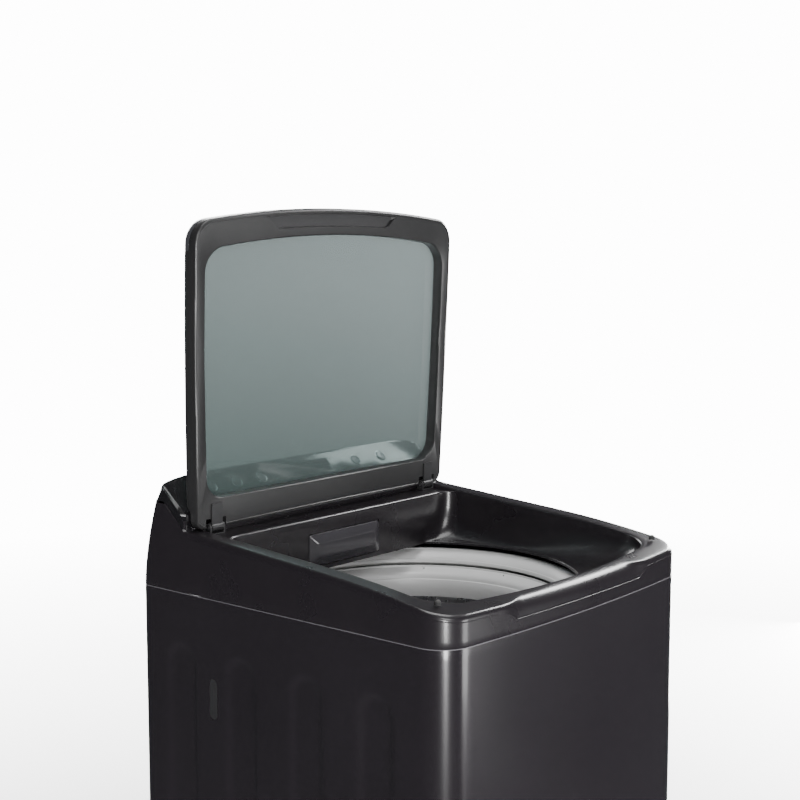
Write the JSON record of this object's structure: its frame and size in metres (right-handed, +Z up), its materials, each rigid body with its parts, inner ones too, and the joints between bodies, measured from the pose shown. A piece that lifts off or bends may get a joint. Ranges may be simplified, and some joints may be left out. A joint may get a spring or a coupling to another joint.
{
  "type": "top load washing machine",
  "caption": "Top load washing machine with a rear-hinged glass lid, bowl-shaped top cover, sprung tub, spinning basket, pulsator and belt drive.",
  "frame": {"origin": "on the floor, under the middle of the cabinet", "axes": "+Z up, +X to the right seen from the front, -Y the front"},
  "size_m": [0.56, 0.57, 1.3473],
  "materials": {
    "cover_plastic": "satin to glossy near-black with a faint purple tint",
    "console_gloss": "high-gloss black",
    "cabinet_paint": "satin metallic near-black paint with a faint purple tint",
    "galvanised_sheet": "zinc-coated sheet with a faint spangle",
    "base_plastic": "fine-textured dark moulded plastic",
    "lid_plastic": "satin charcoal moulding",
    "lid_glass": "grey-green tempered glass",
    "display_glass": "smoked display window",
    "chrome_trim": "bright chrome",
    "brushed_band": "brushed metal-look band, darker to light along its length",
    "button_finish": "satin metallised plastic",
    "ring_plastic": "light grey moulded plastic",
    "tub_plastic": "pale grey moulded plastic",
    "basket_steel": "perforated stainless steel",
    "bright_steel": "ground and plated steel",
    "cast_alloy": "die-cast alloy, slightly rough",
    "motor_case": "dark painted motor can",
    "foot_rubber": "matt black rubber",
    "belt_rubber": "ribbed black belt rubber",
    "circuit_board": "green circuit board with lacquer"
  },
  "bodies": {
    "cabinet": {"cabinet_shell": "cabinet_paint", "rear_panel": "galvanised_sheet", "base_frame": "base_plastic", "top_cover": "cover_plastic", "console_cap": "console_gloss", "display_window": "display_glass", "control_board": "circuit_board", "drawer_housing": "base_plastic", "hinge_bracket_left": "galvanised_sheet", "hinge_bracket_right": "galvanised_sheet", "hinge_pin_left": "bright_steel", "hinge_pin_right": "bright_steel", "lid_bumper_left": "foot_rubber", "lid_bumper_right": "foot_rubber", "lid_lock": "base_plastic", "suspension_rod_front_left": "bright_steel", "suspension_rod_front_right": "bright_steel", "suspension_rod_rear_left": "bright_steel", "suspension_rod_rear_right": "bright_steel", "suspension_spring_front_left": "bright_steel", "suspension_spring_front_right": "bright_steel", "suspension_spring_rear_left": "bright_steel", "suspension_spring_rear_right": "bright_steel", "inlet_valve_cold": "tub_plastic", "inlet_valve_hot": "tub_plastic", "cord_gland": "foot_rubber", "drain_outlet": "base_plastic", "pressure_switch": "tub_plastic"},
    "lid": {"lid_frame": "lid_plastic", "lid_glass": "lid_glass", "lid_front_band": "brushed_band", "lid_trim": "chrome_trim", "hinge_arm_left": "galvanised_sheet", "hinge_arm_right": "galvanised_sheet"},
    "drawer": {"detergent_drawer": "base_plastic"},
    "tub": {"outer_tub": "tub_plastic", "tub_ring": "ring_plastic", "tub_frame": "galvanised_sheet", "gear_case": "cast_alloy", "motor": "motor_case", "drive_belt": "belt_rubber", "drain_valve": "base_plastic"},
    "basket": {"basket": "basket_steel", "balance_ring": "ring_plastic", "lint_filter": "tub_plastic", "spin_tube": "cast_alloy"},
    "pulsator": {"pulsator": "tub_plastic", "drive_shaft": "bright_steel"},
    "large_pulley": {"large_pulley": "cast_alloy"},
    "motor_pulley": {"motor_pulley": "bright_steel"},
    "power_button": {"power_button": "button_finish"},
    "water_level_button": {"water_level_button": "button_finish"},
    "program_button": {"program_button": "button_finish"},
    "temperature_button": {"temperature_button": "button_finish"},
    "start_pause_button": {"start_pause_button": "button_finish"},
    "foot_front_left": {"foot_front_left": "foot_rubber"},
    "foot_front_right": {"foot_front_right": "foot_rubber"},
    "foot_rear_left": {"foot_rear_left": "foot_rubber"},
    "foot_rear_right": {"foot_rear_right": "foot_rubber"}
  },
  "joints": [
    {"name": "lid_hinge", "type": "hinge", "parent": "cabinet", "child": "lid", "pos_m": [0, 0.178, 0.9039], "axis": [1, 0, 0], "range_deg": [0, 92.2]},
    {"name": "drawer_slide", "type": "slide", "parent": "cabinet", "child": "drawer", "axis": [0, -1, 0], "range_m": [0, 0.085]},
    {"name": "tub_bounce", "type": "slide", "parent": "cabinet", "child": "tub", "axis": [0, 0, 1], "range_m": [-0.012, 0.006], "stiffness_N_per_m": 26000, "springref_m": 0.01215, "deforming": ["suspension_spring_front_left", "suspension_spring_front_right", "suspension_spring_rear_left", "suspension_spring_rear_right"]},
    {"name": "basket_spin", "type": "hinge", "parent": "tub", "child": "basket", "pos_m": [0, 0.006, 0.5], "axis": [0, 0, 1], "continuous": true},
    {"name": "pulley_spin", "type": "hinge", "parent": "tub", "child": "large_pulley", "pos_m": [0, 0.006, 0.104], "axis": [0, 0, 1], "continuous": true},
    {"name": "motor_spin", "type": "hinge", "parent": "tub", "child": "motor_pulley", "pos_m": [-0.126, 0.124, 0.104], "axis": [0, 0, 1], "continuous": true},
    {"name": "pulsator_spin", "type": "hinge", "parent": "tub", "child": "pulsator", "pos_m": [0, 0.006, 0.3], "axis": [0, 0, 1], "continuous": true},
    {"name": "power_press", "type": "slide", "parent": "cabinet", "child": "power_button", "axis": [0, 0.682, -0.7314], "range_m": [0, 0.0015], "stiffness_N_per_m": 600},
    {"name": "water_level_press", "type": "slide", "parent": "cabinet", "child": "water_level_button", "axis": [0, 0.682, -0.7314], "range_m": [0, 0.0015], "stiffness_N_per_m": 600},
    {"name": "program_press", "type": "slide", "parent": "cabinet", "child": "program_button", "axis": [0, 0.682, -0.7314], "range_m": [0, 0.0015], "stiffness_N_per_m": 600},
    {"name": "temperature_press", "type": "slide", "parent": "cabinet", "child": "temperature_button", "axis": [0, 0.682, -0.7314], "range_m": [0, 0.0015], "stiffness_N_per_m": 600},
    {"name": "start_pause_press", "type": "slide", "parent": "cabinet", "child": "start_pause_button", "axis": [0, 0.682, -0.7314], "range_m": [0, 0.0015], "stiffness_N_per_m": 600},
    {"name": "foot_front_left_screw", "type": "slide", "parent": "cabinet", "child": "foot_front_left", "axis": [0, 0, -1], "range_m": [0, 0.012]},
    {"name": "foot_front_right_screw", "type": "slide", "parent": "cabinet", "child": "foot_front_right", "axis": [0, 0, -1], "range_m": [0, 0.012]},
    {"name": "foot_rear_left_screw", "type": "slide", "parent": "cabinet", "child": "foot_rear_left", "axis": [0, 0, -1], "range_m": [0, 0.012]},
    {"name": "foot_rear_right_screw", "type": "slide", "parent": "cabinet", "child": "foot_rear_right", "axis": [0, 0, -1], "range_m": [0, 0.012]}
  ],
  "couplings": [
    {"joint": "motor_spin", "follows": "pulley_spin", "ratio": 4.1818},
    {"joint": "pulsator_spin", "follows": "pulley_spin", "ratio": 0.2}
  ]
}
